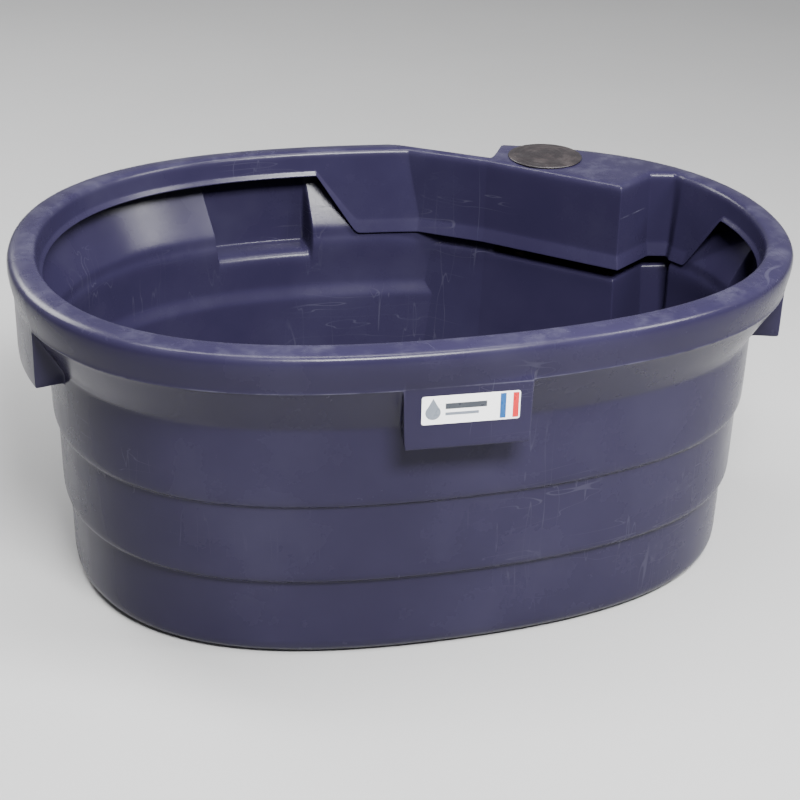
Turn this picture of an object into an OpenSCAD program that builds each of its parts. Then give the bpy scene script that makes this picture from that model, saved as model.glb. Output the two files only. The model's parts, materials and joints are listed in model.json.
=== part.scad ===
// Livestock water trough: a one-piece moulded oval tub with a covered float-valve
// compartment at the back, its hatch cap, float valve, drain and maker's label.
// The origin is the middle of the base, on the ground. +X runs along the tub,
// -Y is the front and +Z is up.

/* [Tub] */
// Overall length of the rim
tub_length = 1385; // [1345:5:1425]
// Width of the rim across its middle, front to back
tub_width = 992; // [970:2:1012]
// Wall thickness of the moulding
wall = 7; // [5:0.5:8]
// How square the oval is: 2 is an ellipse and higher is squarer
oval_power = 2.06; // [2:0.02:2.16]

/* [Lugs] */
// Width of each of the four lifting lugs
lug_width = 210; // [180:10:230]
// Height of the lugs' undersides above the ground
lug_bottom = 424; // [415:1:430]

/* [Hatch] */
// Diameter of the hatch hole over the float valve
hatch_hole_d = 120; // [110:2:124]
// Diameter of the hatch cap's rim
hatch_cap_d = 146; // [140:2:150]

/* [Float valve] */
// Outside diameter of the inlet thread
inlet_thread_d = 26.4; // [20:0.1:28]
// Length of the lever arm from its pivot to the middle of the float
arm_length = 150; // [130:5:160]
// Diameter of the float
float_d = 80; // [70:5:85]
// How far the float hangs below level when the tub is empty, in degrees
arm_drop = 17; // [10:1:18]

/* [Drain] */
// Outside diameter of the drain bush's thread
drain_thread_d = 48; // [40:1:60]
// Height of the drain's axis above the ground
drain_height = 84; // [78:1:110]

/* [Label] */
// Width of the label plate on the front lug
label_width = 158; // [120:2:180]
// Height of the label plate
label_height = 49; // [40:1:56]

/* [Hidden] */

half_length = tub_length / 2;
half_width = tub_width / 2;
tub_height = 600;
tub_colour = "#34344a";

// Plan corners of the float-valve compartment's basin side, from the right end of
// the rim round to the back: the step, the box corner and the bend at the notch.
step_end = [582, 221];
step_corner = [535, 229];
box_corner = [455, 167];
notch_bend = [237, 350];
rim_corner = [74, 453];
// How far out the notch's own outer wall stands from the compartment's basin side
notch_depth = 25;
// Where along X the box's left end meets the back of the rim
box_left = 297;
shelf_top = 405;
shelf_under = shelf_top - wall;
// The recess wall is upright below this height, so that the drain seats flat
upright_height = 200;
upright_offset = -8;
base_inset = 84.5;
base_edge = 28;
// The oval is fuller toward its ends than across its middle, and more so on the left
end_fullness = 0.19;
right_taper = 0.066;
// How far in from the rim the lugs' faces and the skirt's basin side stand
lug_inset = 8.5;
skirt_inset = 51;

// Kinds of station round the tub
PLAIN = 0;
CORNER = 1;
BOX = 2;

function power(v, p) = sign(v) * pow(abs(v), p);

// Point of the rim oval at the angle t, moved in by the distance inset
function fullness(along) = 1 - right_taper * along + end_fullness * along * along;
function oval(t, inset) = let (along = power(cos(t), 2 / oval_power)) [
    (half_length - inset) * along,
    (half_width - inset) * power(sin(t), 2 / oval_power) * fullness(along)];

// Angles of the points of the oval that lie at a given X, or at a given Y near the
// right end (side = 1) or the left end (side = -1)
function angle_at_x(x) = acos(power(x / (half_length - lug_inset), oval_power / 2));
function angle_at_y(y, side) =
    asin(power(y / (half_width - lug_inset) / fullness(side), oval_power / 2));

// The basin side of the compartment, as a path that runs anticlockwise
path = [oval(24, skirt_inset), step_end, step_corner, box_corner, notch_bend, rim_corner];
function right_of(a, b) = [b.y - a.y, a.x - b.x] / norm(b - a);
function mitre(n1, n2, offset) = (n1 + n2) * offset / (1 + n1 * n2);
function path_corner(i, offset) = path[i] + mitre(
    right_of(path[i - 1], path[i]), right_of(path[i], path[i + 1]), offset);

// Point where the notch line, moved out by offset, crosses the oval at an inset
function side_of(t, inset, offset) =
    (oval(t, inset) - notch_bend) * right_of(notch_bend, rim_corner) - offset;
function cross_angle(inset, offset, low, high, turns) =
    turns == 0 ? (low + high) / 2
    : side_of((low + high) / 2, inset, offset) > 0
        ? cross_angle(inset, offset, (low + high) / 2, high, turns - 1)
        : cross_angle(inset, offset, low, (low + high) / 2, turns - 1);
function crossing(inset, offset) = oval(cross_angle(inset, offset, 60, 90, 24), inset);

// Point of the path at u, where whole numbers are its corners
function path_point(u, inset, offset) =
    let (i = min(floor(u), 4), f = u - i)
    let (b = i == 4 ? crossing(inset, offset) : path_corner(i + 1, offset))
    path_corner(i, offset) * (1 - f) + b * f;

// A station is [kind, angle, u, deep, lug outside, lug inside, box outside, box inside]
function kind(s) = s[0];
function deep(s) = s[3];
function plan(s, inset, offset, on_oval) =
    kind(s) == PLAIN ? oval(s[1], inset)
    : kind(s) == CORNER ? crossing(inset, offset)
    : on_oval ? oval(s[1], inset)
    : path_point(s[2], inset, offset);
function at(xy, z) = [xy.x, xy.y, z];

// Each lug's face is upright and flush with the bottom of the rim band. The front one
// is flat for the label, and the back one is deeper.
function lug_point(t, inset) =
    let (p = oval(t, inset))
    t > 225 && t < 315 ? [p.x, inset - half_width] : p;
function lug_foot(t) = t > 90 && t < 135 ? lug_bottom - 30 : lug_bottom;

// Offset of the recess wall's basin side from the path at a height
function recess(z) = z <= upright_height ? upright_offset
    : upright_offset + (wall - upright_offset) * (z - upright_height) / (shelf_under - upright_height);

// Outer face below the rim band, as [inset, height]: base edge, then a step inward
// at the foot of each tier
low_rows = [[112, 0], [96, 3], [87.5, 12], [base_inset, base_edge],
    [82, 149], [75, 151.5], [71.5, 165], [69.5, 298], [63.5, 300.5], [60.3, 314]];
function low_outer(s) = [for (r = low_rows)
    at(plan(s, r[0], recess(r[1]) + wall - max(0, r[0] - base_inset), false), r[1])];

// Foot of the sloping band and the flash line at the bottom of the rim band. A lug
// stands out here, and the compartment's shelf runs out to the box's outer wall.
function band(s) = s[4] ? [
    at(oval(s[1], 59), lug_foot(s[1]) - 2), at(lug_point(s[1], lug_inset), lug_foot(s[1])),
    at(lug_point(s[1], lug_inset), 532)]
    : kind(s) == PLAIN ? [at(oval(s[1], 58.6), 442), at(oval(s[1], 9.5), 529), at(oval(s[1], 8), 533)]
    : [at(plan(s, 59, wall * 2, false), shelf_under),
       at(plan(s, 20, notch_depth, s[6]), shelf_under),
       at(plan(s, 9, notch_depth, s[6]), 533)];

// Rim band and the rounded top, with the notch's tighter edge beside it
rim_rows = [[0, 572], [1, 584], [5, 592], [11, 597], [30, 600]];
notch_rows = [[25, 572], [24.5, 586], [23.5, 593], [21.5, 598], [17, 600]];
function rim(s) = [for (i = [0 : 4])
    kind(s) != PLAIN && !s[6]
        ? at(plan(s, rim_rows[i][0], notch_rows[i][0], false), notch_rows[i][1])
        : at(plan(s, rim_rows[i][0], 0, true), rim_rows[i][1])];

// Basin side of the rim: a rounded edge, the skirt, and its flared lower edge. Each
// row is [inset, height, inset where deep, height where deep, offset on the path].
skirt_rows = [
    [39, 600, 39, 600, 13], [46, 597, 46, 597, 5], [50, 590, 50, 590, 1],
    [skirt_inset, 582, skirt_inset, 582, 0],
    [53.5, 564, 63.5, 456, -1], [59, 552, 71, 433, -9], [55, 549, 66, 430, -5],
    [47, 560, 59, 450, wall], [44, 584, 44, 584, wall], [38, 593, 38, 593, wall + 4]];
function blend(a, b, f) = a + (b - a) * f;
function skirt(s) = [for (r = skirt_rows)
    at(plan(s, blend(r[0], r[2], deep(s)), r[4], false), blend(r[1], r[3], deep(s)))];

// Inside of the rim band, or of the box or notch, down to the shelf
function hollow(s) = s[5] ? [
    at(oval(s[1], 15), 592), at(oval(s[1], wall + 1), 572),
    at(lug_point(s[1], lug_inset + wall), 529),
    at(lug_point(s[1], lug_inset + wall), lug_foot(s[1]) + wall),
    at(oval(s[1], 66.4), lug_foot(s[1]) + wall - 2), at(oval(s[1], 66.8), lug_foot(s[1]) + wall - 5)]
    : kind(s) == PLAIN ? [
    at(oval(s[1], 15), 592), at(oval(s[1], wall + 1), 571), at(oval(s[1], 15.5), 531),
    at(oval(s[1], 65.6), 441), at(oval(s[1], 66), 425), at(oval(s[1], 66.5), 404)]
    : [
    at(plan(s, 15, notch_depth - wall - 2, s[7]), 593),
    at(plan(s, wall + 1, notch_depth - wall, s[7]), 572),
    at(plan(s, 16.5, notch_depth - wall, s[7]), 529),
    at(plan(s, 27, notch_depth - wall, s[7]), shelf_top),
    at(plan(s, 66, wall + 6, false), shelf_top),
    at(plan(s, 66.5, wall + 0.5, false), shelf_top - 6)];

// Inner face down to the floor
inner_rows = [[67.3, 322], [71, 310], [76.5, 299], [78.5, 174], [82.5, 161], [89, 151],
    [91.5, 32], [94.5, 18], [102.5, 9.5], [115.5, 7]];
function inner(s) = [for (r = inner_rows)
    at(plan(s, r[0], recess(r[1]) - max(0, r[0] - base_inset - wall), false), r[1])];

function section(s) = concat(
    low_outer(s), band(s), rim(s), skirt(s), hollow(s), inner(s));

// Stations round the tub
function plain(t, depth = 0) = [PLAIN, t, 0, depth, false, false, false, false];
function run(t0, t1, count) = [for (i = [1 : count]) plain(t0 + (t1 - t0) * i / (count + 1))];
// Both sides and the middle of a lug that runs from the angle t0 to t1
function lug(t0, t1) = [for (r = [
    [0, false, false, 0], [0.15, true, false, 0], [0.65, true, false, 0], [0.8, true, true, 0],
    [0, true, true, 0.25], [0, true, true, 0.5], [0, true, true, 0.75],
    [-0.8, true, true, 1], [-0.65, true, false, 1], [-0.15, true, false, 1], [0, false, false, 1]])
    [PLAIN, blend(t0, t1, r[3]) + r[0], 0, 0, r[1], r[2], false, false]];

// The front lug is in the middle. The end lugs stand forward of the middle, and the
// back lug, which is a little wider, stands left of it, clear of the compartment.
half_lug = lug_width / 2;
end_lug_y = -73;
back_lug_right = 98;
front_half = 90 - angle_at_x(half_lug);
back_lug_start = 180 - angle_at_x(back_lug_right);
back_lug_end = 180 - angle_at_x(back_lug_right + lug_width + 14);
left_lug_start = 180 - angle_at_y(end_lug_y + half_lug, -1);
left_lug_end = 180 - angle_at_y(end_lug_y - half_lug, -1);
right_lug_start = 360 + angle_at_y(end_lug_y - half_lug, 1);
right_lug_end = 360 + angle_at_y(end_lug_y + half_lug, 1);
box_angle = acos(power(box_left / half_length, oval_power / 2));

function box_station(t, u) = [BOX, t, u, 1, false, false, true, true];
function notch_station(u) = [BOX, 0, u, 1, false, false, false, false];

stations = concat(
    [for (t = [9.4, 12.6, 15.8, 19]) plain(t, (t - 9.4) / 9.6)],
    [for (t = [20.5, 22.3, 24]) plain(t, 1)],
    [box_station(26, 1), box_station(29.5, 1.5), box_station(33, 2), box_station(37, 2.5),
     box_station(41, 3)],
    [for (i = [1 : 8]) box_station(blend(41, box_angle - 1, i / 8), blend(3, 3.9, i / 8))],
    [[BOX, box_angle, 3.94, 1, false, false, true, false], notch_station(4)],
    [for (u = [4.2 : 0.2 : 4.8]) notch_station(u)],
    [[CORNER, 0, 5, 1, false, false, false, false]],
    [plain(87, 1), plain(90.6, 1), plain(94, 0.5), plain(97.4, 0)],
    lug(back_lug_start, back_lug_end),
    run(back_lug_end, left_lug_start, 13),
    lug(left_lug_start, left_lug_end),
    run(left_lug_end, 270 - front_half, 17),
    lug(270 - front_half, 270 + front_half),
    run(270 + front_half, right_lug_start, 17),
    lug(right_lug_start, right_lug_end));

module tub_skin() {
    rings = [for (s = stations) section(s)];
    count = len(rings);
    depth = len(rings[0]);
    bottom = count * depth;
    points = concat([for (r = rings) each r], [[0, 0, 0], [0, 0, wall]]);
    walls = [for (i = [0 : count - 1]) let (j = (i + 1) % count) for (k = [0 : depth - 2])
        each [[i * depth + k, i * depth + k + 1, j * depth + k],
              [j * depth + k, i * depth + k + 1, j * depth + k + 1]]];
    base = [for (i = [0 : count - 1]) [bottom, i * depth, (i + 1) % count * depth]];
    floor_faces = [for (i = [0 : count - 1])
        [bottom + 1, (i + 1) % count * depth + depth - 1, i * depth + depth - 1]];
    polyhedron(points, concat(walls, base, floor_faces), 10);
}

// Places along the compartment, measured from the box corner: along the box toward
// the notch, out from its basin side, and up
box_run = (notch_bend - box_corner) / norm(notch_bend - box_corner);
box_out = right_of(box_corner, notch_bend);
box_turn = atan2(-box_run.y, -box_run.x);
function box_place(along, out) = box_corner + box_run * along + box_out * out;

hatch_centre = box_place(195, 78);
valve_centre = box_place(229, 70);
drain_centre = box_place(142, upright_offset);

// Local X of the valve points along the lever arm
module at_valve() {
    translate([valve_centre.x, valve_centre.y, shelf_top]) rotate([0, 0, box_turn]) children();
}

// Local Z of the drain points out of the tub, and its origin is on the basin side
module at_drain() {
    translate([drain_centre.x, drain_centre.y, drain_height])
        rotate([0, 90, atan2(box_out.y, box_out.x)]) children();
}

module tube(outer_r, inner_r, length) {
    difference() {
        cylinder(r = outer_r, h = length, $fn = 96);
        translate([0, 0, -1]) cylinder(r = inner_r, h = length + 2, $fn = 96);
    }
}

module hex_nut(across, inner_r, length) {
    difference() {
        cylinder(r = across / 2 / cos(30), h = length, $fn = 6);
        translate([0, 0, -1]) cylinder(r = inner_r, h = length + 2, $fn = 96);
    }
}

module tub_shell() {
    color(tub_colour) difference() {
        tub_skin();
        translate([hatch_centre.x, hatch_centre.y, tub_height - 20])
            cylinder(d = hatch_hole_d, h = 40, $fn = 96);
        at_valve() translate([0, 0, -wall - 5]) cylinder(d = inlet_thread_d + 1, h = wall + 10, $fn = 96);
        at_drain() translate([0, 0, -10]) cylinder(d = drain_thread_d + 1, h = wall + 20, $fn = 96);
    }
}

module hatch_cap() {
    color("#2b2728") translate([hatch_centre.x, hatch_centre.y, tub_height])
        rotate_extrude($fn = 128) polygon([
            [0, 9], [30, 8.6], [31, 7.6], [46, 7.2], [47, 6.2], [60, 5.6], [hatch_cap_d / 2 - 6, 4.6],
            [hatch_cap_d / 2, 3], [hatch_cap_d / 2, 0.3], [hatch_hole_d / 2 - 0.5, 0.3],
            [hatch_hole_d / 2 - 0.5, -16], [hatch_hole_d / 2 - 4, -16], [hatch_hole_d / 2 - 4, -1],
            [0, 3]]);
}

module label_plate() {
    color("white") translate([-label_width / 2 + 3, -half_width + lug_inset - 1, 469])
        cube([label_width, 1, label_height]);
}

thread_r = inlet_thread_d / 2;
fit_gap = 0.05;
seal_height = 3;
pivot_x = 14;
pivot_z = 112;
body_r = 17;
bore_r = 12;
arm_r = 3;
pin_r = 2.5;
seat_z = 60;
outlet_z = 68;
// How far the dropped arm lets the plunger rise off its seat
plunger_lift = 2.8;

// The valve's body: thread, flange, barrel, and two ears that carry the lever
module valve_body() {
    color("#c9a24a") at_valve() difference() {
        union() {
            translate([0, 0, -55]) cylinder(r = thread_r, h = 56 + seal_height, $fn = 96);
            translate([0, 0, seal_height]) cylinder(r = 24, h = 5, $fn = 96);
            translate([0, 0, seal_height]) cylinder(r = body_r, h = 102, $fn = 96);
            for (side = [-1, 1]) translate([pivot_x - 9, side * 12 - 3, 98]) cube([18, 6, 24]);
        }
        translate([0, 0, -56]) cylinder(r = 9, h = 120, $fn = 96);
        translate([0, 0, seat_z]) cylinder(r = bore_r, h = 50, $fn = 96);
        // Relief below the lock nut
        translate([0, 0, -23]) tube(thread_r + 2, thread_r - 0.8, 2);
        translate([pivot_x, 30, pivot_z]) rotate([90, 0, 0]) cylinder(r = pin_r, h = 60, $fn = 48);
        // Slot for the lever between the ears, and the outlet port
        translate([0, -8.5, 96]) cube([40, 17, 30]);
        translate([-30, 0, outlet_z]) rotate([0, 90, 0]) cylinder(r = 6, h = 30, $fn = 48);
    }
}

module valve_nozzle() {
    color("#e8e6dc") at_valve() translate([0, 0, seat_z]) difference() {
        union() {
            cylinder(r = bore_r - 0.3, h = 5, $fn = 96);
            cylinder(r = 5, h = 12.8, $fn = 64);
        }
        translate([0, 0, -1]) cylinder(r = 2.5, h = 20, $fn = 48);
    }
}

plunger_z = 77 + plunger_lift;

module valve_plunger() {
    color("#b9bcc0") at_valve() translate([0, 0, plunger_z]) difference() {
        union() {
            cylinder(r = bore_r - fit_gap, h = 15, $fn = 96);
            cylinder(r = 3, h = 26.7, $fn = 48);
        }
        translate([0, 0, -1]) cylinder(r = 7.6, h = 4, $fn = 64);
    }
}

module plunger_seal() {
    color("#222222") at_valve() translate([0, 0, plunger_z - 4]) cylinder(r = 7.5, h = 7, $fn = 64);
}

// Local origin on the pivot, with local X along the dropped arm
module at_arm() {
    at_valve() translate([pivot_x, 0, pivot_z]) rotate([0, arm_drop, 0]) children();
}

float_length = 110;
float_start = arm_length - float_length / 2;

// The lever: an eye on the pivot, a cam over the plunger and a rod to the float
module lever_arm() {
    color("#b9bcc0") at_arm() difference() {
        union() {
            translate([0, 6, 0]) rotate([90, 0, 0]) cylinder(r = 8, h = 12, $fn = 64);
            translate([-20, -5, -8]) cube([20, 10, 9]);
            rotate([0, 90, 0]) cylinder(r = arm_r, h = float_start + float_length + 8, $fn = 48);
        }
        translate([0, 30, 0]) rotate([90, 0, 0]) cylinder(r = pin_r + fit_gap, h = 60, $fn = 48);
    }
}

module pivot_pin() {
    color("#9a9da1") at_valve() translate([pivot_x, 0, pivot_z]) rotate([90, 0, 0]) union() {
        translate([0, 0, -17.5]) cylinder(r = pin_r, h = 35, $fn = 48);
        translate([0, 0, -18]) cylinder(r = 4.5, h = 2.7, $fn = 48);
    }
}

module pivot_clip() {
    color("#9a9da1") at_valve() translate([pivot_x, -15.3, pivot_z]) rotate([90, 0, 0])
        tube(4.5, pin_r, 1.4);
}

// Half section of the float, moved in from its outside by the distance skin
function float_section(skin) = let (edge = 20 - skin, outer = float_d / 2 - 20) concat(
    [[arm_r + 0.3 + skin, skin]],
    [for (a = [0 : 15 : 90]) [outer + edge * sin(a), 20 - edge * cos(a)]],
    [for (a = [90 : -15 : 0]) [outer + edge * sin(a), float_length - 20 + edge * cos(a)]],
    [[arm_r + 0.3 + skin, float_length - skin]]);

module float_ball() {
    color("#c23a2a") at_arm() translate([float_start, 0, 0]) rotate([0, 90, 0])
        rotate_extrude($fn = 96) difference() {
            polygon(float_section(0));
            polygon(float_section(2.5));
        }
}

module float_clamp() {
    color("#c9a24a") at_arm() translate([float_start - 12.3, 0, 0]) rotate([0, 90, 0])
        tube(9, arm_r, 12);
}

module float_nut() {
    color("#c9a24a") at_arm() translate([float_start + float_length + 0.3, 0, 0])
        rotate([0, 90, 0]) hex_nut(13, arm_r, 6);
}

module outlet_tube() {
    color("#222222") at_valve() translate([-body_r - 22, 0, outlet_z]) rotate([0, 90, 0])
        tube(5.9, 4, 26.5);
}

module inlet_seal_top() {
    color("#222222") at_valve() tube(23, thread_r + fit_gap, seal_height);
}

module inlet_seal_bottom() {
    color("#222222") at_valve() translate([0, 0, -wall - seal_height])
        tube(20, thread_r + fit_gap, seal_height);
}

module inlet_nut() {
    color("#c9a24a") at_valve() translate([0, 0, -wall - seal_height - 10])
        hex_nut(38, thread_r + fit_gap, 10);
}

drain_r = drain_thread_d / 2;
drain_bore = drain_r - 6;

module drain_bush() {
    color("#26262c") at_drain() difference() {
        union() {
            translate([0, 0, -seal_height - 6]) cylinder(r = drain_r + 10, h = 6, $fn = 96);
            translate([0, 0, -seal_height - 1]) cylinder(r = drain_r, h = 36, $fn = 96);
        }
        translate([0, 0, -20]) cylinder(r = drain_bore, h = 80, $fn = 96);
    }
}

module drain_seal() {
    color("#151515") at_drain() translate([0, 0, -seal_height]) tube(drain_r + 9, drain_r + fit_gap, seal_height);
}

module drain_nut() {
    color("#26262c") at_drain() translate([0, 0, wall]) hex_nut(66, drain_r + fit_gap, 11);
}

plug_r = drain_bore - fit_gap;

module drain_plug() {
    color("#8c2f22") at_drain() difference() {
        union() {
            translate([0, 0, 2]) cylinder(r = plug_r, h = 32, $fn = 96);
            translate([0, 0, 34]) cylinder(r = drain_r + 4, h = 7, $fn = 96);
            translate([-18, -4, 40]) cube([36, 8, 16]);
        }
        translate([0, 0, 1]) cylinder(r = plug_r - 5, h = 26, $fn = 96);
    }
}

module plug_ring() {
    color("#151515") at_drain() translate([0, 0, 32.05]) tube(drain_r, plug_r, 1.9);
}

tub_shell();
hatch_cap();
label_plate();
valve_body();
valve_nozzle();
valve_plunger();
plunger_seal();
lever_arm();
pivot_pin();
pivot_clip();
float_ball();
float_clamp();
float_nut();
outlet_tube();
inlet_seal_top();
inlet_seal_bottom();
inlet_nut();
drain_bush();
drain_seal();
drain_nut();
drain_plug();
plug_ring();
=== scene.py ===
"""Livestock water trough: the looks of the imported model, built round its frame."""
import math

import bmesh
import bpy
from mathutils import Matrix, Vector
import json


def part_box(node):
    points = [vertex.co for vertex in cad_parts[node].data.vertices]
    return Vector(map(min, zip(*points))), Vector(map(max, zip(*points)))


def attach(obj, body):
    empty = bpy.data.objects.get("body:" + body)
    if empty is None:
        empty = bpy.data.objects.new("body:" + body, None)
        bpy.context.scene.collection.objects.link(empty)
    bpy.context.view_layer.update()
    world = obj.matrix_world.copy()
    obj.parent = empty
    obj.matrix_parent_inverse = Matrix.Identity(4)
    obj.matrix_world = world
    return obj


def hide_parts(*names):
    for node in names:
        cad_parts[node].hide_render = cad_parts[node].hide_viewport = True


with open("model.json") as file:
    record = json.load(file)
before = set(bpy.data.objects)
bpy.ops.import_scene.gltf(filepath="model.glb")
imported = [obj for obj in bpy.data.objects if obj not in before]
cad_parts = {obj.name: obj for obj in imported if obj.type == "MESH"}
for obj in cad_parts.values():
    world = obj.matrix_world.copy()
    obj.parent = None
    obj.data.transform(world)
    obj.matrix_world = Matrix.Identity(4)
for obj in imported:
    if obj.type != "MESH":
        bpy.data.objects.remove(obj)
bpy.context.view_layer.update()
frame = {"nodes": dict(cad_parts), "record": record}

MM = 0.001
TAU = 2 * math.pi

# ---------------------------------------------------------------- the tub's outline
# Millimetres, with the same outline as the CAD tub, and finer rounding.
HALF_LENGTH = 692.5
HALF_WIDTH = 496.0
TOP = 600.0
OVAL_POWER = 2.06
END_FULLNESS = 0.19
RIGHT_TAPER = 0.066
WALL = 7.0
LUG_WIDTH = 210.0
LUG_BOTTOM = 424.0
BACK_LUG_DROP = 30.0
LUG_INSET = 8.5
END_LUG_Y = -73.0
BACK_LUG_RIGHT = 98.0
BACK_LUG_LEFT = 322.0
SKIRT_INSET = 51.0
NOTCH_DEPTH = 25.0
BOX_LEFT = 297.0
SHELF_TOP = 405.0
SHELF_UNDER = SHELF_TOP - WALL
UPRIGHT_HEIGHT = 200.0
UPRIGHT_OFFSET = -8.0
BASE_INSET = 84.5

PLAIN, CORNER, BOX = "plain", "corner", "box"


def power(value, exponent):
    return math.copysign(abs(value) ** exponent, value)


def oval(angle, inset):
    """Point of the rim's oval at an angle in degrees, moved in by inset."""
    turn = math.radians(angle)
    along = power(math.cos(turn), 2 / OVAL_POWER)
    return Vector(((HALF_LENGTH - inset) * along,
                   (HALF_WIDTH - inset) * power(math.sin(turn), 2 / OVAL_POWER) * fullness(along)))


def fullness(along):
    """The oval is fuller toward its ends than across its middle."""
    return 1 - RIGHT_TAPER * along + END_FULLNESS * along * along


def angle_at_x(distance):
    """Angle of the lug oval's point at a distance along X, in the first quadrant."""
    return math.degrees(math.acos(power(distance / (HALF_LENGTH - LUG_INSET), OVAL_POWER / 2)))


def angle_at_y(distance, side):
    """The same along Y, near the right end (1) or the left end (-1)."""
    share = distance / (HALF_WIDTH - LUG_INSET) / fullness(side)
    return math.degrees(math.asin(power(share, OVAL_POWER / 2)))


PATH = [oval(24, SKIRT_INSET), Vector((582, 221)), Vector((535, 229)), Vector((455, 167)),
        Vector((237, 350)), Vector((74, 453))]


def right_of(a, b):
    d = (b - a).normalized()
    return Vector((d.y, -d.x))


def path_corner(i, offset):
    first = right_of(PATH[i - 1], PATH[i])
    second = right_of(PATH[i], PATH[i + 1])
    return PATH[i] + (first + second) * offset / (1 + first.dot(second))


def crossing(inset, offset):
    """Where the notch line, moved out by offset, crosses the oval at an inset."""
    normal = right_of(PATH[4], PATH[5])
    low, high = 60.0, 90.0
    for _ in range(30):
        middle = (low + high) / 2
        if (oval(middle, inset) - PATH[4]).dot(normal) > offset:
            low = middle
        else:
            high = middle
    return oval(middle, inset)


def path_point(u, inset, offset):
    i = min(int(u), 4)
    a = path_corner(i, offset)
    b = crossing(inset, offset) if i == 4 else path_corner(i + 1, offset)
    return a.lerp(b, u - i)


def blend(a, b, f):
    return a + (b - a) * f


class Station:
    """One upright section through the moulding's wall."""

    def __init__(self, kind, angle=0.0, u=0.0, deep=0.0, lug=(False, False), box=(False, False),
                 face=0.0):
        self.kind, self.angle, self.u, self.deep = kind, angle, u, deep
        self.lug, self.box, self.face = lug, box, face

    def plan(self, inset, offset, on_oval):
        if self.kind == PLAIN:
            return oval(self.angle, inset)
        if self.kind == CORNER:
            return crossing(inset, offset)
        if on_oval:
            return oval(self.angle, inset)
        return path_point(self.u, inset, offset)

    def lug_point(self, inset):
        p = oval(self.angle, inset)
        if 225 < self.angle < 315:
            return Vector((p.x, inset - HALF_WIDTH))
        return p

    def lug_foot(self):
        return LUG_BOTTOM - (BACK_LUG_DROP if 90 < self.angle < 135 else 0)


def recess(z):
    if z <= UPRIGHT_HEIGHT:
        return UPRIGHT_OFFSET
    rise = (z - UPRIGHT_HEIGHT) / (SHELF_UNDER - UPRIGHT_HEIGHT)
    return UPRIGHT_OFFSET + (WALL - UPRIGHT_OFFSET) * rise


# Outer face from under the base to the top of the second tier: (inset, height)
LOW_ROWS = [(150, 0), (116, 0), (106, 0.8), (95, 4.5), (88, 12), (85.1, 22), (84.5, 34),
            (84, 80), (82.5, 140), (82.1, 145.5), (81.3, 148.6), (78.5, 150), (74.2, 153),
            (72.1, 159), (71.3, 169), (70.9, 200), (69.7, 289), (69.4, 294.5), (68.6, 297.6),
            (66, 299), (62.8, 302.4), (61.2, 309), (60.4, 319), (60, 350)]

# Foot of the sloping band up to the flash line, and what replaces it at a lug, at
# the compartment's box and at the notch
BAND_PLAIN = [(58.9, 426), (58.6, 438), (57.6, 444), (53.8, 452), (17, 516), (11, 526),
              (8.4, 530), (6.7, 532.2), (7.4, 534.6)]
BAND_LUG = [(59.4, -9, False), (58.8, -2.2, False), (52, -0.4, False), (13.5, 0, True),
            (9.5, 1, True), (8.5, 5, True), (8.5, 52, True), (8.3, 100, True), (7.7, 109.5, True)]
BAND_BOX = [(WALL * 2, SHELF_UNDER - 16, False), (WALL * 2 + 0.5, SHELF_UNDER - 3, False),
            (WALL * 2 + 3, SHELF_UNDER - 0.3, False), (26, SHELF_UNDER, True),
            (21.5, SHELF_UNDER + 0.8, True), (20, SHELF_UNDER + 5, True), (18.6, 430, True),
            (9.6, 526, True), (8, 534.6, True)]
BAND_NOTCH = [(WALL * 2, SHELF_UNDER - 16), (WALL * 2 + 1, SHELF_UNDER - 4),
              (NOTCH_DEPTH - 8, SHELF_UNDER), (NOTCH_DEPTH - 3, SHELF_UNDER + 1.5),
              (NOTCH_DEPTH - 0.5, SHELF_UNDER + 5), (NOTCH_DEPTH, SHELF_UNDER + 12),
              (NOTCH_DEPTH, 430), (NOTCH_DEPTH, 526), (NOTCH_DEPTH, 534.6)]

# Rim band and rounded top: (inset, height, offset on the notch side, height there)
RIM_ROWS = [(6.2, 542, 25, 542), (1.4, 565, 25, 565), (0.2, 577, 25, 577), (0.6, 586, 24.7, 585),
            (3.6, 592.8, 23.8, 591), (10, 597.2, 22, 596.4), (24, 599.7, 18.5, 599.6)]

# Rounded inner edge, skirt and flared lower edge: (inset, height, inset where deep,
# height where deep, offset on the path)
SKIRT_ROWS = [(38, 600, 38, 600, 13.5), (43.5, 599, 43.5, 599, 8), (47.6, 595.6, 47.6, 595.6, 3.4),
              (50.2, 590, 50.2, 590, 0.9), (51, 582, 51, 582, 0), (52.2, 572, 54, 548, -0.2),
              (53.2, 564.5, 62.6, 468, -0.8), (53.7, 561.6, 63.6, 458, -1.2),
              (55.2, 559, 65, 454.6, -2.6), (58.8, 553.6, 70.6, 434, -8.6),
              (59.3, 552, 71.1, 431.9, -9.1), (58.2, 551, 70, 430.4, -8.2),
              (54.6, 553, 65.5, 435, -3.4), (49, 559.4, 60, 449, 5), (47.2, 564, 59, 455, 6.6),
              (45.6, 574, 52, 540, 7), (44.2, 583, 44.6, 580, 7.3), (41, 590.4, 41, 590.4, 9.5)]

# Under the rim and down the inside to just below the curtain
HOLLOW_PLAIN = [(30, 593), (19, 592.4), (11, 585), (8.4, 574), (12, 548), (15, 533),
                (18, 526), (61, 448), (64.0, 441), (64.4, 423.5), (69.8, 414.5)]
HOLLOW_LUG = [(15.5, 525), (15.5, 17), (16.2, 9.5), (21, 7.2)]
HOLLOW_BOX = [(20, 593, True), (15, 593, True), (9.6, 588, True), (8.2, 574, True),
              (12, 548, True), (16, 527, True), (22, 470, True), (26.8, 412, True),
              (31, 405.5, True), (13, 405, False), (8.6, 402.4, False)]
HOLLOW_NOTCH = [(14, 593), (16.5, 593), (17.7, 588), (18, 574), (18, 528), (18, 488),
                (18, 460), (17.9, 412), (17, 405.8), (12.6, 405), (8.6, 402.4)]

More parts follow.
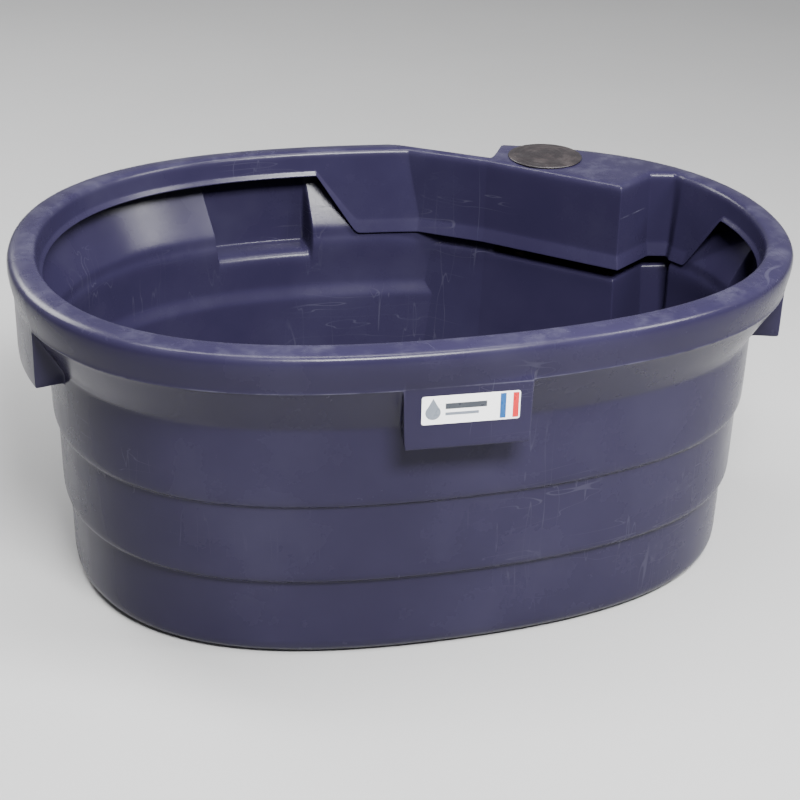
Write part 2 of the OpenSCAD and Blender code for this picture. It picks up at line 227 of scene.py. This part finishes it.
# Inner face down to the floor
INNER_ROWS = [(66.9, 370), (67.3, 334), (67.6, 326), (69, 319), (75, 304), (77, 297.5),
              (77.4, 290), (77.8, 250), (78.3, 186), (78.6, 178), (80, 171), (86.6, 155.2),
              (88.8, 149), (89.4, 141), (91, 60), (91.7, 34), (94.5, 19.5), (101.5, 11),
              (112.5, 7.5), (126, 7), (158, 7)]


def section(s):
    points = []

    def add(xy, z):
        points.append((xy.x * MM, xy.y * MM, z * MM))

    for inset, z in LOW_ROWS:
        add(s.plan(inset, recess(z) + WALL - max(0, inset - BASE_INSET), False), z)

    if s.lug[0]:
        for inset, rise, on_face in BAND_LUG:
            height = s.lug_foot() + rise
            if rise > 60:
                height = LUG_BOTTOM + rise
            add(s.lug_point(inset) if on_face else oval(s.angle, inset), height)
    elif s.kind == PLAIN:
        for inset, z in BAND_PLAIN:
            add(oval(s.angle, inset), z)
    else:
        for (value, z, on_oval), (notch, notch_z) in zip(BAND_BOX, BAND_NOTCH):
            away = 1.0 if not s.box[0] else s.face
            box_xy = s.plan(value, value, on_oval)
            notch_xy = s.plan(58.9, notch, False)
            add(box_xy.lerp(notch_xy, away), blend(z, notch_z, away))

    for inset, z, notch, notch_z in RIM_ROWS:
        if s.kind == PLAIN:
            add(oval(s.angle, inset), z)
        else:
            away = 1.0 if not s.box[0] else s.face
            box_xy = oval(s.angle, inset) if s.box[0] else Vector((0, 0))
            add(box_xy.lerp(s.plan(inset, notch, False), away), blend(z, notch_z, away))

    for inset, z, deep_inset, deep_z, offset in SKIRT_ROWS:
        add(s.plan(blend(inset, deep_inset, s.deep), offset, False), blend(z, deep_z, s.deep))

    if s.kind == PLAIN:
        for i, (inset, z) in enumerate(HOLLOW_PLAIN):
            if s.lug[1] and 6 <= i <= 9:
                lug_inset, lug_z = HOLLOW_LUG[i - 6]
                add(s.lug_point(lug_inset), lug_z + (s.lug_foot() if lug_z < 100 else 0))
            elif s.lug[1] and i == 10:
                add(oval(s.angle, 66.4), s.lug_foot() + 3)
            else:
                add(oval(s.angle, inset), z)
    elif s.box[1]:
        for value, z, on_oval in HOLLOW_BOX:
            add(s.plan(value, value, on_oval), z)
    else:
        for value, z in HOLLOW_NOTCH:
            add(s.plan(66, value, False), z)

    for inset, z in INNER_ROWS:
        add(s.plan(inset, recess(z) - max(0, inset - BASE_INSET - WALL), False), z)
    return points


def run(start, end, step, deep=None):
    """Plain stations between two angles, both ends left out."""
    count = max(1, round((end - start) / step) - 1)
    angles = [start + (end - start) * (i + 1) / (count + 1) for i in range(count)]
    return [Station(PLAIN, a, deep=deep(a) if deep else 0.0) for a in angles]


def lug_stations(start, end, deep=None):
    """Both sides and the face of a lug that runs between two angles."""
    degrees_per_mm = (end - start) / LUG_WIDTH
    outside, inside = (True, False), (True, True)
    edge = [(0.0, (False, False)), (2.5, outside), (6.5, outside), (9.5, inside), (14.0, inside)]
    plan = [(start - 2.5 * degrees_per_mm, (False, False))]
    plan += [(start + mm * degrees_per_mm, lug) for mm, lug in edge]
    plan += [(blend(start, end, f), inside) for f in (0.2, 0.35, 0.5, 0.65, 0.8)]
    plan += [(end - mm * degrees_per_mm, lug) for mm, lug in reversed(edge)]
    plan += [(end + 2.5 * degrees_per_mm, (False, False))]
    return [Station(PLAIN, a, deep=deep(a) if deep else 0.0, lug=lug) for a, lug in plan]


def right_depth(angle):
    """How far the skirt has deepened on the right end, toward the compartment."""
    return min(1.0, max(0.0, (angle - 9.4) / 9.6))


def back_depth(angle):
    """The same on the back, from the rear lug to the rim's corner."""
    return min(1.0, max(0.0, (97.4 - angle) / 6.8))


def box_station(angle, u):
    return Station(BOX, angle, u, 1.0, box=(True, True))


def notch_station(u):
    return Station(BOX, 0.0, u, 1.0)


def tub_stations():
    half_lug = LUG_WIDTH / 2
    front_half = 90 - angle_at_x(half_lug)
    back_start = 180 - angle_at_x(BACK_LUG_RIGHT)
    back_end = 180 - angle_at_x(BACK_LUG_LEFT)
    left_start = 180 - angle_at_y(END_LUG_Y + half_lug, -1)
    left_end = 180 - angle_at_y(END_LUG_Y - half_lug, -1)
    right_start = 360 + angle_at_y(END_LUG_Y - half_lug, 1)
    right_end = 360 + angle_at_y(END_LUG_Y + half_lug, 1)
    left_face = math.degrees(math.acos(power(BOX_LEFT / HALF_LENGTH, OVAL_POWER / 2)))
    out = [Station(PLAIN, a, deep=right_depth(a))
           for a in (7.8, 9.1, 9.7, 11.5, 14.2, 16.9, 18.7, 19.3, 20.4, 22.0, 23.2, 23.8)]
    out += [box_station(a, u) for a, u in (
        (24.8, 1.0), (26.2, 1.2), (29.0, 1.75), (30.6, 1.93), (31.8, 2.0), (33.0, 2.06),
        (35.4, 2.25), (37.6, 2.6), (39.4, 2.88), (40.6, 2.97), (41.4, 3.0), (42.2, 3.016))]
    out += [box_station(blend(42.2, left_face - 1.6, i / 12), blend(3.016, 3.9, i / 12))
            for i in range(1, 13)]
    out += [box_station(left_face - 1.1, 3.915)]
    out += [Station(BOX, left_face + turn, u, 1.0, box=(True, False), face=face)
            for turn, u, face in ((-0.6, 3.93, 0.0), (-0.25, 3.945, 0.0), (0.0, 3.955, 0.02),
                                  (0.0, 3.965, 0.08), (0.0, 3.975, 0.35), (0.0, 3.98, 0.7),
                                  (0.0, 3.99, 0.95))]
    out += [notch_station(u) for u in (4.0, 4.03, 4.12, 4.3, 4.5, 4.7, 4.85, 4.94, 4.985)]
    out += [Station(CORNER, deep=1.0)]
    out += [Station(PLAIN, a, deep=back_depth(a)) for a in (
        84.4, 85.2, 87.0, 89.2, 90.3, 90.9, 92.2, 93.9, 95.6, 97.0, 97.4)]
    out += lug_stations(back_start, back_end)
    out += run(back_end, left_start, 3.0)
    out += lug_stations(left_start, left_end)
    out += run(left_end, 270 - front_half, 3.0)
    out += lug_stations(270 - front_half, 270 + front_half)
    out += run(270 + front_half, right_start, 3.0)
    out += lug_stations(right_start, right_end)
    return out


# ---------------------------------------------------------------- mesh helpers
def new_object(name, verts, faces, smooth=True):
    mesh = bpy.data.meshes.new(name)
    mesh.from_pydata([tuple(v) for v in verts], [], faces)
    mesh.update()
    obj = bpy.data.objects.new(name, mesh)
    bpy.context.scene.collection.objects.link(obj)
    if smooth:
        mesh.shade_smooth()
    return obj


def fix_normals(obj):
    bm = bmesh.new()
    bm.from_mesh(obj.data)
    bmesh.ops.recalc_face_normals(bm, faces=bm.faces)
    bm.to_mesh(obj.data)
    bm.free()


def apply_modifiers(obj):
    graph = bpy.context.evaluated_depsgraph_get()
    mesh = bpy.data.meshes.new_from_object(obj.evaluated_get(graph))
    obj.modifiers.clear()
    old = obj.data
    obj.data = mesh
    bpy.data.meshes.remove(old)


def sharpen(obj, angle=35):
    obj.data.shade_smooth()
    obj.data.set_sharp_from_angle(angle=math.radians(angle))


def cutter(radius, length, centre, axis):
    """A many-sided rod for cutting a round hole."""
    sides = 96
    bm = bmesh.new()
    bmesh.ops.create_cone(bm, cap_ends=True, segments=sides, radius1=radius, radius2=radius,
                          depth=length)
    turn = Vector((0, 0, 1)).rotation_difference(axis).to_matrix().to_4x4()
    bmesh.ops.transform(bm, matrix=Matrix.Translation(centre) @ turn, verts=bm.verts)
    mesh = bpy.data.meshes.new("cutter")
    bm.to_mesh(mesh)
    bm.free()
    obj = bpy.data.objects.new("cutter", mesh)
    bpy.context.scene.collection.objects.link(obj)
    return obj


def cut(obj, tool):
    modifier = obj.modifiers.new("hole", "BOOLEAN")
    modifier.operation = "DIFFERENCE"
    modifier.solver = "EXACT"
    modifier.object = tool
    apply_modifiers(obj)
    bpy.data.objects.remove(tool)


def lathe(name, profile, centre, sides=128):
    """Turns (radius, height) points about an upright axis. Points on the axis become one."""
    verts, rings, faces = [], [], []
    for r, z in profile:
        if r == 0:
            rings.append([len(verts)] * sides)
            verts.append(Vector((0, 0, z)) + centre)
            continue
        rings.append(list(range(len(verts), len(verts) + sides)))
        for k in range(sides):
            a = TAU * k / sides
            verts.append(Vector((r * math.cos(a), r * math.sin(a), z)) + centre)
    for low, high in zip(rings, rings[1:]):
        for k in range(sides):
            m = (k + 1) % sides
            face = [low[k], low[m], high[m], high[k]]
            face = [v for i, v in enumerate(face) if v not in face[:i]]
            if len(face) > 2:
                faces.append(face)
    obj = new_object(name, verts, faces)
    fix_normals(obj)
    return obj


def prism(name, outline, y_back, y_front):
    """A flat shape in X and Z, between two Y values."""
    count = len(outline)
    verts = [(x, y_back, z) for x, z in outline] + [(x, y_front, z) for x, z in outline]
    faces = [list(range(count)), list(range(2 * count - 1, count - 1, -1))]
    faces += [[i, (i + 1) % count, count + (i + 1) % count, count + i] for i in range(count)]
    obj = new_object(name, verts, faces)
    fix_normals(obj)
    sharpen(obj)
    return obj


def rounded_rectangle(x0, z0, x1, z1, radius, steps=8):
    out = []
    for cx, cz, start in ((x1 - radius, z1 - radius, 0), (x0 + radius, z1 - radius, 90),
                          (x0 + radius, z0 + radius, 180), (x1 - radius, z0 + radius, 270)):
        for k in range(steps + 1):
            a = math.radians(start + 90 * k / steps)
            out.append((cx + radius * math.cos(a), cz + radius * math.sin(a)))
    return out


# ---------------------------------------------------------------- materials
class Maker:
    """A small helper that builds one material's nodes."""

    def __init__(self, name, color, rough, metallic=0.0):
        self.material = bpy.data.materials.new(name)
        self.material.use_nodes = True
        self.tree = self.material.node_tree
        self.shader = self.tree.nodes["Principled BSDF"]
        self.shader.inputs["Base Color"].default_value = (*color, 1)
        self.shader.inputs["Roughness"].default_value = rough
        self.shader.inputs["Metallic"].default_value = metallic
        places = self.tree.nodes.new("ShaderNodeTexCoord").outputs
        self.coords, self.face_normal = places["Object"], places["Normal"]
        self.normal = None

    def node(self, kind, **values):
        made = self.tree.nodes.new(kind)
        for key, value in values.items():
            if hasattr(made, key):
                setattr(made, key, value)
            else:
                made.inputs[key.replace("_", " ")].default_value = value
        return made

    def link(self, source, target):
        self.tree.links.new(source, target)

    def stretch(self, scale, turn=(0, 0, 0)):
        mapping = self.node("ShaderNodeMapping")
        mapping.inputs["Scale"].default_value = scale
        mapping.inputs["Rotation"].default_value = [math.radians(a) for a in turn]
        self.link(self.coords, mapping.inputs["Vector"])
        return mapping.outputs["Vector"]

    def noise(self, scale, detail=4.0, rough=0.55, vector=None, distortion=0.0):
        made = self.node("ShaderNodeTexNoise", Scale=scale, Detail=detail, Roughness=rough,
                         Distortion=distortion)
        self.link(vector or self.coords, made.inputs["Vector"])
        return made.outputs["Fac"]

    def ramp(self, value, low, high, out_low=0.0, out_high=1.0):
        made = self.node("ShaderNodeMapRange")
        made.interpolation_type = "SMOOTHSTEP"
        for socket, number in zip(("From Min", "From Max", "To Min", "To Max"),
                                  (low, high, out_low, out_high)):
            made.inputs[socket].default_value = number
        self.link(value, made.inputs["Value"])
        return made.outputs["Result"]

    def math(self, operation, a, b=None):
        made = self.node("ShaderNodeMath")
        made.operation = operation
        for socket, value in zip(made.inputs, (a, b)):
            if value is None:
                continue
            if isinstance(value, (int, float)):
                socket.default_value = value
            else:
                self.link(value, socket)
        return made.outputs["Value"]

    def height(self):
        split = self.node("ShaderNodeSeparateXYZ")
        self.link(self.coords, split.inputs["Vector"])
        return split.outputs["Z"]

    def outward(self):
        """1 where the surface faces away from the object's upright axis, otherwise 0."""
        product = self.node("ShaderNodeVectorMath")
        product.operation = "DOT_PRODUCT"
        flat = self.node("ShaderNodeVectorMath")
        flat.operation = "MULTIPLY"
        flat.inputs[1].default_value = (1, 1, 0)
        self.link(self.coords, flat.inputs[0])
        self.link(self.face_normal, product.inputs[0])
        self.link(flat.outputs["Vector"], product.inputs[1])
        return self.ramp(product.outputs["Value"], 0.05, 0.15)

    def mix(self, fac, color_a, color_b):
        made = self.node("ShaderNodeMix")
        made.data_type = "RGBA"
        sockets = [s for s in made.inputs if s.type == "RGBA"]
        for socket, value in zip(sockets, (color_a, color_b)):
            if isinstance(value, tuple):
                socket.default_value = (*value, 1)
            else:
                self.link(value, socket)
        self.link(fac, made.inputs[0])
        return [s for s in made.outputs if s.type == "RGBA"][0]

    def paint(self, color):
        self.link(color, self.shader.inputs["Base Color"])

    def roughness(self, value):
        self.link(value, self.shader.inputs["Roughness"])

    def bump(self, value, strength, distance):
        made = self.node("ShaderNodeBump", Strength=strength, Distance=distance)
        self.link(value, made.inputs["Height"])
        if self.normal is not None:
            self.link(self.normal, made.inputs["Normal"])
        self.normal = made.outputs["Normal"]
        self.link(self.normal, self.shader.inputs["Normal"])


def scratches(m, scale, turn, low, high):
    """Sparse thin lines: 1 on a line and 0 elsewhere."""
    lines = m.noise(1.0, 2.0, 0.5, m.stretch(scale, turn), 0.35)
    near = m.math("ABSOLUTE", m.math("SUBTRACT", lines, 0.5))
    thin = m.ramp(near, low, high, 1.0, 0.0)
    patches = m.ramp(m.noise(3.1, 2.0, 0.5), 0.56, 0.66)
    return m.math("MULTIPLY", thin, patches)


# Heights in metres: the moulding line under the rim band, and the rim's worn top
SEAM_HEIGHT = 0.5325
WORN_FROM, WORN_FULLY = 0.588, 0.5995


def tub_plastic():
    m = Maker("tub_plastic", (0.05, 0.05, 0.1), 0.4)
    m.shader.inputs["IOR"].default_value = 1.36
    m.shader.inputs["Specular IOR Level"].default_value = 0.26
    cloud = m.ramp(m.noise(2.3, 5.0, 0.6), 0.35, 0.7)
    color = m.mix(cloud, (0.0135, 0.0112, 0.0285), (0.0185, 0.0158, 0.037))
    grime = m.ramp(m.noise(5.0, 5.0, 0.55), 0.48, 0.85, 0.0, 0.32)
    color = m.mix(grime, color, (0.032, 0.030, 0.052))
    lines = m.math("MAXIMUM", scratches(m, (26, 26, 2.2), (0, 0, 20), 0.0015, 0.006),
                   scratches(m, (3.0, 3.0, 24), (18, 30, 0), 0.001, 0.005))
    color = m.mix(m.math("MULTIPLY", lines, 0.1), color, (0.14, 0.14, 0.18))
    z = m.height()
    # Lighter ragged line on outward faces at the seam height: partly scuffing along the parting
    # seam, partly a painted highlight along its ridge
    ragged = m.ramp(m.noise(19.0, 4.0, 0.6), 0.34, 0.62)
    seam_scuff_and_highlight = m.ramp(m.math("ABSOLUTE", m.math("SUBTRACT", z, SEAM_HEIGHT)), 0.0003, 0.0016, 1.0, 0.0)
    seam_scuff_and_highlight = m.math("MULTIPLY", m.math("MULTIPLY", seam_scuff_and_highlight, ragged), m.outward())
    color = m.mix(m.math("MULTIPLY", seam_scuff_and_highlight, 0.3), color, (0.13, 0.13, 0.17))
    top = m.ramp(z, WORN_FROM, WORN_FULLY)
    worn = m.ramp(m.noise(16.0, 6.0, 0.7), 0.44, 0.72)
    color = m.mix(m.math("MULTIPLY", m.math("MULTIPLY", top, worn), 0.35), color,
                  (0.06, 0.058, 0.085))
    m.paint(color)
    rough = m.ramp(m.noise(5.0, 6.0, 0.65), 0.3, 0.75, 0.21, 0.33)
    m.roughness(m.math("ADD", rough, m.math("MULTIPLY", lines, 0.12)))
    m.bump(m.noise(240.0, 3.0, 0.6), 0.10, 0.0006)
    m.bump(m.noise(9.0, 3.0, 0.5), 0.18, 0.0016)
    m.bump(lines, 0.12, -0.0004)
    return m.material


def cap_rubber():
    m = Maker("cap_rubber", (0.03, 0.025, 0.025), 0.45)
    m.shader.inputs["Specular IOR Level"].default_value = 0.45
    dust = m.ramp(m.noise(30.0, 6.0, 0.65), 0.4, 0.75)
    m.paint(m.mix(dust, (0.010, 0.008, 0.009), (0.030, 0.024, 0.024)))
    m.roughness(m.ramp(m.noise(45.0, 5.0, 0.6), 0.3, 0.7, 0.34, 0.55))
    m.bump(m.noise(420.0, 3.0, 0.6), 0.15, 0.0004)
    return m.material


def film(name, color, rough=0.3):
    m = Maker(name, color, rough)
    soil = m.ramp(m.noise(90.0, 6.0, 0.6), 0.5, 0.8, 0.0, 0.35)
    m.paint(m.mix(soil, color, tuple(0.82 * c for c in color)))
    m.roughness(m.ramp(m.noise(60.0, 4.0, 0.6), 0.3, 0.7, rough - 0.06, rough + 0.1))
    m.bump(m.noise(70.0, 2.0, 0.5), 0.08, 0.0003)
    return m.material


def moulded(name, color, rough, variation=0.3, grain=300.0):
    m = Maker(name, color, rough)
    patch = m.ramp(m.noise(38.0, 5.0, 0.6), 0.35, 0.75)
    m.paint(m.mix(patch, color, tuple(min(1.0, c * (1 + variation) + 0.008) for c in color)))
    m.roughness(m.ramp(m.noise(50.0, 5.0, 0.6), 0.3, 0.7, rough - 0.07, rough + 0.1))
    m.bump(m.noise(grain, 3.0, 0.6), 0.12, 0.0004)
    return m.material


def metal(name, color, rough, tarnish):
    m = Maker(name, color, rough, 1.0)
    dull = m.ramp(m.noise(55.0, 7.0, 0.65), 0.42, 0.72)
    m.paint(m.mix(dull, color, tarnish))
    brushed = m.noise(1.0, 4.0, 0.6, m.stretch((60, 60, 900)))
    m.roughness(m.ramp(brushed, 0.3, 0.7, rough - 0.06, rough + 0.14))
    m.bump(m.noise(500.0, 3.0, 0.6), 0.1, 0.0003)
    return m.material


def studio_floor():
    m = Maker("studio_floor", (0.33, 0.33, 0.33), 0.85)
    m.roughness(m.ramp(m.noise(3.0, 2.0, 0.5), 0.3, 0.7, 0.66, 0.76))
    return m.material


MATERIALS = {
    "tub_plastic": tub_plastic(),
    "cap_rubber": cap_rubber(),
    "label_film": film("label_film", (0.84, 0.84, 0.84)),
    "brass": metal("brass", (0.72, 0.52, 0.24), 0.3, (0.34, 0.22, 0.1)),
    "nozzle_plastic": moulded("nozzle_plastic", (0.74, 0.71, 0.62), 0.4, 0.06),
    "steel": metal("steel", (0.56, 0.57, 0.58), 0.3, (0.32, 0.31, 0.3)),
    "float_plastic": moulded("float_plastic", (0.5, 0.04, 0.025), 0.33, 0.3),
    "seal_rubber": moulded("seal_rubber", (0.02, 0.02, 0.02), 0.6, 0.5, 500.0),
    "drain_plastic": moulded("drain_plastic", (0.028, 0.028, 0.034), 0.45, 0.5),
    "plug_plastic": moulded("plug_plastic", (0.3, 0.035, 0.022), 0.42, 0.3),
}
LABEL_BLUE = film("label_blue", (0.004, 0.07, 0.22))
LABEL_RED = film("label_red", (0.48, 0.008, 0.012))
LABEL_GREY = film("label_grey", (0.03, 0.035, 0.045))
LABEL_SLATE = film("label_slate", (0.14, 0.16, 0.19))

for entry in frame["record"]["subparts"]:
    frame["nodes"][entry["node"]].data.materials.clear()
    frame["nodes"][entry["node"]].data.materials.append(MATERIALS[entry["material_slot"]])


def finish_piece(obj, body, material, slot, *nodes):
    obj.data.materials.clear()
    obj.data.materials.append(material)
    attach(obj, body)
    if nodes:
        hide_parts(*nodes)


# ---------------------------------------------------------------- the tub
# Round holes through the tub, in metres: each one's radius and the cutting rod's length
HATCH_HOLE = (0.06, 0.05)
INLET_HOLE = (0.0137, 0.05)
DRAIN_HOLE = (0.0245, 0.06)


def middle_of(node):
    low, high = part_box(node)
    return (Vector(low) + Vector(high)) / 2


def make_tub():
    stations = tub_stations()
    rings = [section(s) for s in stations]
    count, depth = len(rings), len(rings[0])
    verts = [p for ring in rings for p in ring]
    faces = []
    for i in range(count):
        j = (i + 1) % count
        for k in range(depth - 1):
            faces.append((i * depth + k, j * depth + k, j * depth + k + 1, i * depth + k + 1))
    verts += [(0, 0, 0), (0, 0, WALL * MM)]
    base, floor = len(verts) - 2, len(verts) - 1
    for i in range(count):
        j = (i + 1) % count
        faces.append((base, j * depth, i * depth))
        faces.append((floor, i * depth + depth - 1, j * depth + depth - 1))
    obj = new_object("tub", verts, faces)
    fix_normals(obj)
    rounding = obj.modifiers.new("rounding", "SUBSURF")
    rounding.levels = rounding.render_levels = 2
    apply_modifiers(obj)
    up = Vector((0, 0, 1))
    hatch = middle_of("hatch_cap")
    cut(obj, cutter(*HATCH_HOLE, Vector((hatch.x, hatch.y, TOP * MM)), up))
    inlet = middle_of("inlet_nut")
    cut(obj, cutter(*INLET_HOLE, Vector((inlet.x, inlet.y, SHELF_TOP * MM)), up))
    outward = right_of(PATH[3], PATH[4])
    cut(obj, cutter(*DRAIN_HOLE, middle_of("drain_nut"), Vector((outward.x, outward.y, 0))))
    sharpen(obj, 50)
    finish_piece(obj, "tub", MATERIALS["tub_plastic"], "tub_plastic", "tub_shell")


def make_cap():
    """The hatch cap: a domed disc with concentric ridges and a rolled lip."""
    low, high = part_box("hatch_cap")
    centre = middle_of("hatch_cap")
    seat = high[2] - 0.009
    radius = (high[0] - low[0]) / 2
    skirt = 0.0595
    profile = [(0, 8.4), (0.004, 8.5), (0.0065, 8.9), (0.009, 8.9), (0.0105, 8.2)]
    profile += [(0.015, 7.9), (0.017, 7.9), (0.018, 8.5), (0.0205, 8.5), (0.0215, 7.6)]
    profile += [(0.030, 7.2), (0.0312, 7.9), (0.0335, 7.8), (0.0347, 6.7)]
    profile += [(0.046, 6.2), (0.0472, 6.9), (0.0495, 6.8), (0.0507, 5.7)]
    profile += [(0.0590, 5.2), (0.0602, 5.7), (0.0620, 5.5), (0.0632, 4.5)]
    profile += [(radius - 0.0045, 4.0), (radius - 0.002, 3.5), (radius - 0.0004, 2.4)]
    profile += [(radius - 0.0004, 1.3), (radius - 0.0015, 0.5), (radius - 0.005, 0.4)]
    profile += [(skirt + 0.001, 0.4), (skirt, -0.6), (skirt, -14), (skirt - 0.001, -15.6)]
    profile += [(skirt - 0.003, -15.6), (skirt - 0.0035, -14), (skirt - 0.0035, -1), (0, 2.5)]
    obj = lathe("hatch_cap_skin", [(r, z * MM) for r, z in profile],
                Vector((centre.x, centre.y, seat)))
    rounding = obj.modifiers.new("rounding", "SUBSURF")
    rounding.levels = rounding.render_levels = 1
    apply_modifiers(obj)
    sharpen(obj, 60)
    finish_piece(obj, "hatch", MATERIALS["cap_rubber"], "cap_rubber", "hatch_cap")


def make_label():
    """The label: a white film with a plain drop, two bars and two stripes."""
    low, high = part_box("label_plate")
    back, front = high[1], low[1] + 0.0003
    width, tall = high[0] - low[0], high[2] - low[2]
    sheet = prism("label_sheet", rounded_rectangle(low[0], low[2], high[0], high[2], 0.004),
                  back, front)
    finish_piece(sheet, "tub", MATERIALS["label_film"], "label_film", "label_plate")

    def printed(name, outline, material):
        piece = prism(name, outline, front + 0.0001, front - 0.00015)
        finish_piece(piece, "tub", material, "label_film")

    def bar(name, x0, z0, x1, z1, material):
        corners = (low[0] + x0 * width, low[2] + z0 * tall, low[0] + x1 * width, low[2] + z1 * tall)
        printed(name, rounded_rectangle(*corners, 0.0006, 3), material)

    cx, cz, r = low[0] + 0.115 * width, low[2] + 0.42 * tall, 0.25 * tall
    drop = []
    for k in range(49):
        a = math.radians(-225 + 270 * k / 48)
        drop.append((cx + r * math.cos(a), cz + r * math.sin(a)))
    drop.append((cx, cz + r * 2.0))
    printed("label_drop", drop, LABEL_SLATE)
    bar("label_bar_upper", 0.24, 0.52, 0.66, 0.72, LABEL_GREY)
    bar("label_bar_lower", 0.24, 0.3, 0.58, 0.4, LABEL_SLATE)
    bar("label_stripe_left", 0.795, 0.06, 0.855, 0.94, LABEL_BLUE)
    bar("label_stripe_right", 0.925, 0.06, 0.985, 0.94, LABEL_RED)


# ---------------------------------------------------------------- stage
def camera_direction(azimuth, elevation):
    a, e = math.radians(azimuth), math.radians(elevation)
    return Vector((math.sin(a) * math.cos(e), -math.cos(a) * math.cos(e), math.sin(e)))


AIM = Vector((0, 0, TOP * MM / 2))
VIEW_AZIMUTH = -12.49
VIEW_ELEVATION = 26.06
VIEW_ROLL = 1.42
VIEW_DISTANCE = 3.31
LENS = 81.0
SHIFT = (-0.0025, -0.0208)


def look(obj, place, target, roll=0.0):
    obj.location = place
    forward = (target - place).normalized()
    right = forward.cross(Vector((0, 0, 1))).normalized()
    up = right.cross(forward)
    turn = math.radians(roll)
    side = right * math.cos(turn) + up * math.sin(turn)
    top = up * math.cos(turn) - right * math.sin(turn)
    obj.rotation_euler = Matrix((side, top, -forward)).transposed().to_euler()


def make_camera():
    data = bpy.data.cameras.new("camera")
    data.lens = LENS
    data.sensor_width = 36.0
    data.shift_x, data.shift_y = SHIFT
    data.clip_end = 100
    obj = bpy.data.objects.new("camera", data)
    bpy.context.scene.collection.objects.link(obj)
    look(obj, AIM + camera_direction(VIEW_AZIMUTH, VIEW_ELEVATION) * VIEW_DISTANCE, AIM, VIEW_ROLL)
    bpy.context.scene.camera = obj


def softbox(name, place, target, size, watts):
    data = bpy.data.lights.new(name, "AREA")
    data.shape = "RECTANGLE"
    data.size, data.size_y = size
    data.energy = watts
    obj = bpy.data.objects.new(name, data)
    bpy.context.scene.collection.objects.link(obj)
    look(obj, Vector(place), Vector(target))


FLOOR_HALF = 20.0
WORLD_STRENGTH = 0.34
SUN_ENERGY = 0.35
SUN_ANGLE = 50

# Area lights: name, place, point aimed at, size and watts
SOFTBOXES = (
    ("key_front", (0.3, -2.9, 3.5), (0, 0, 0.4), (1.8, 0.9), 610),
    ("side_right", (2.5, -1.3, 3.0), (0, 0, 0.5), (0.9, 1.4), 185),
    ("overhead_box", (-0.2, -0.2, 3.3), (0, 0.2, 0.5), (3.0, 0.5), 130),
    ("back_fill", (-2.4, 2.9, 3.0), (0, 0, 0.3), (1.8, 1.6), 190),
)


def make_stage():
    half = FLOOR_HALF
    floor = new_object("studio_floor", [(-half, -half, 0), (half, -half, 0), (half, half, 0),
                                        (-half, half, 0)], [(0, 1, 2, 3)], smooth=False)
    floor.data.materials.append(studio_floor())
    world = bpy.data.worlds.new("studio")
    world.use_nodes = True
    world.node_tree.nodes["Background"].inputs["Color"].default_value = (0.96, 0.96, 1.0, 1)
    world.node_tree.nodes["Background"].inputs["Strength"].default_value = WORLD_STRENGTH
    bpy.context.scene.world = world
    for box in SOFTBOXES:
        softbox(*box)
    sky = bpy.data.lights.new("overhead", "SUN")
    sky.energy = SUN_ENERGY
    sky.angle = math.radians(SUN_ANGLE)
    sun = bpy.data.objects.new("overhead", sky)
    bpy.context.scene.collection.objects.link(sun)
    look(sun, Vector((-0.8, -0.2, 4.0)), Vector((0, 0, 0)))


make_tub()
make_cap()
make_label()
make_stage()
make_camera()
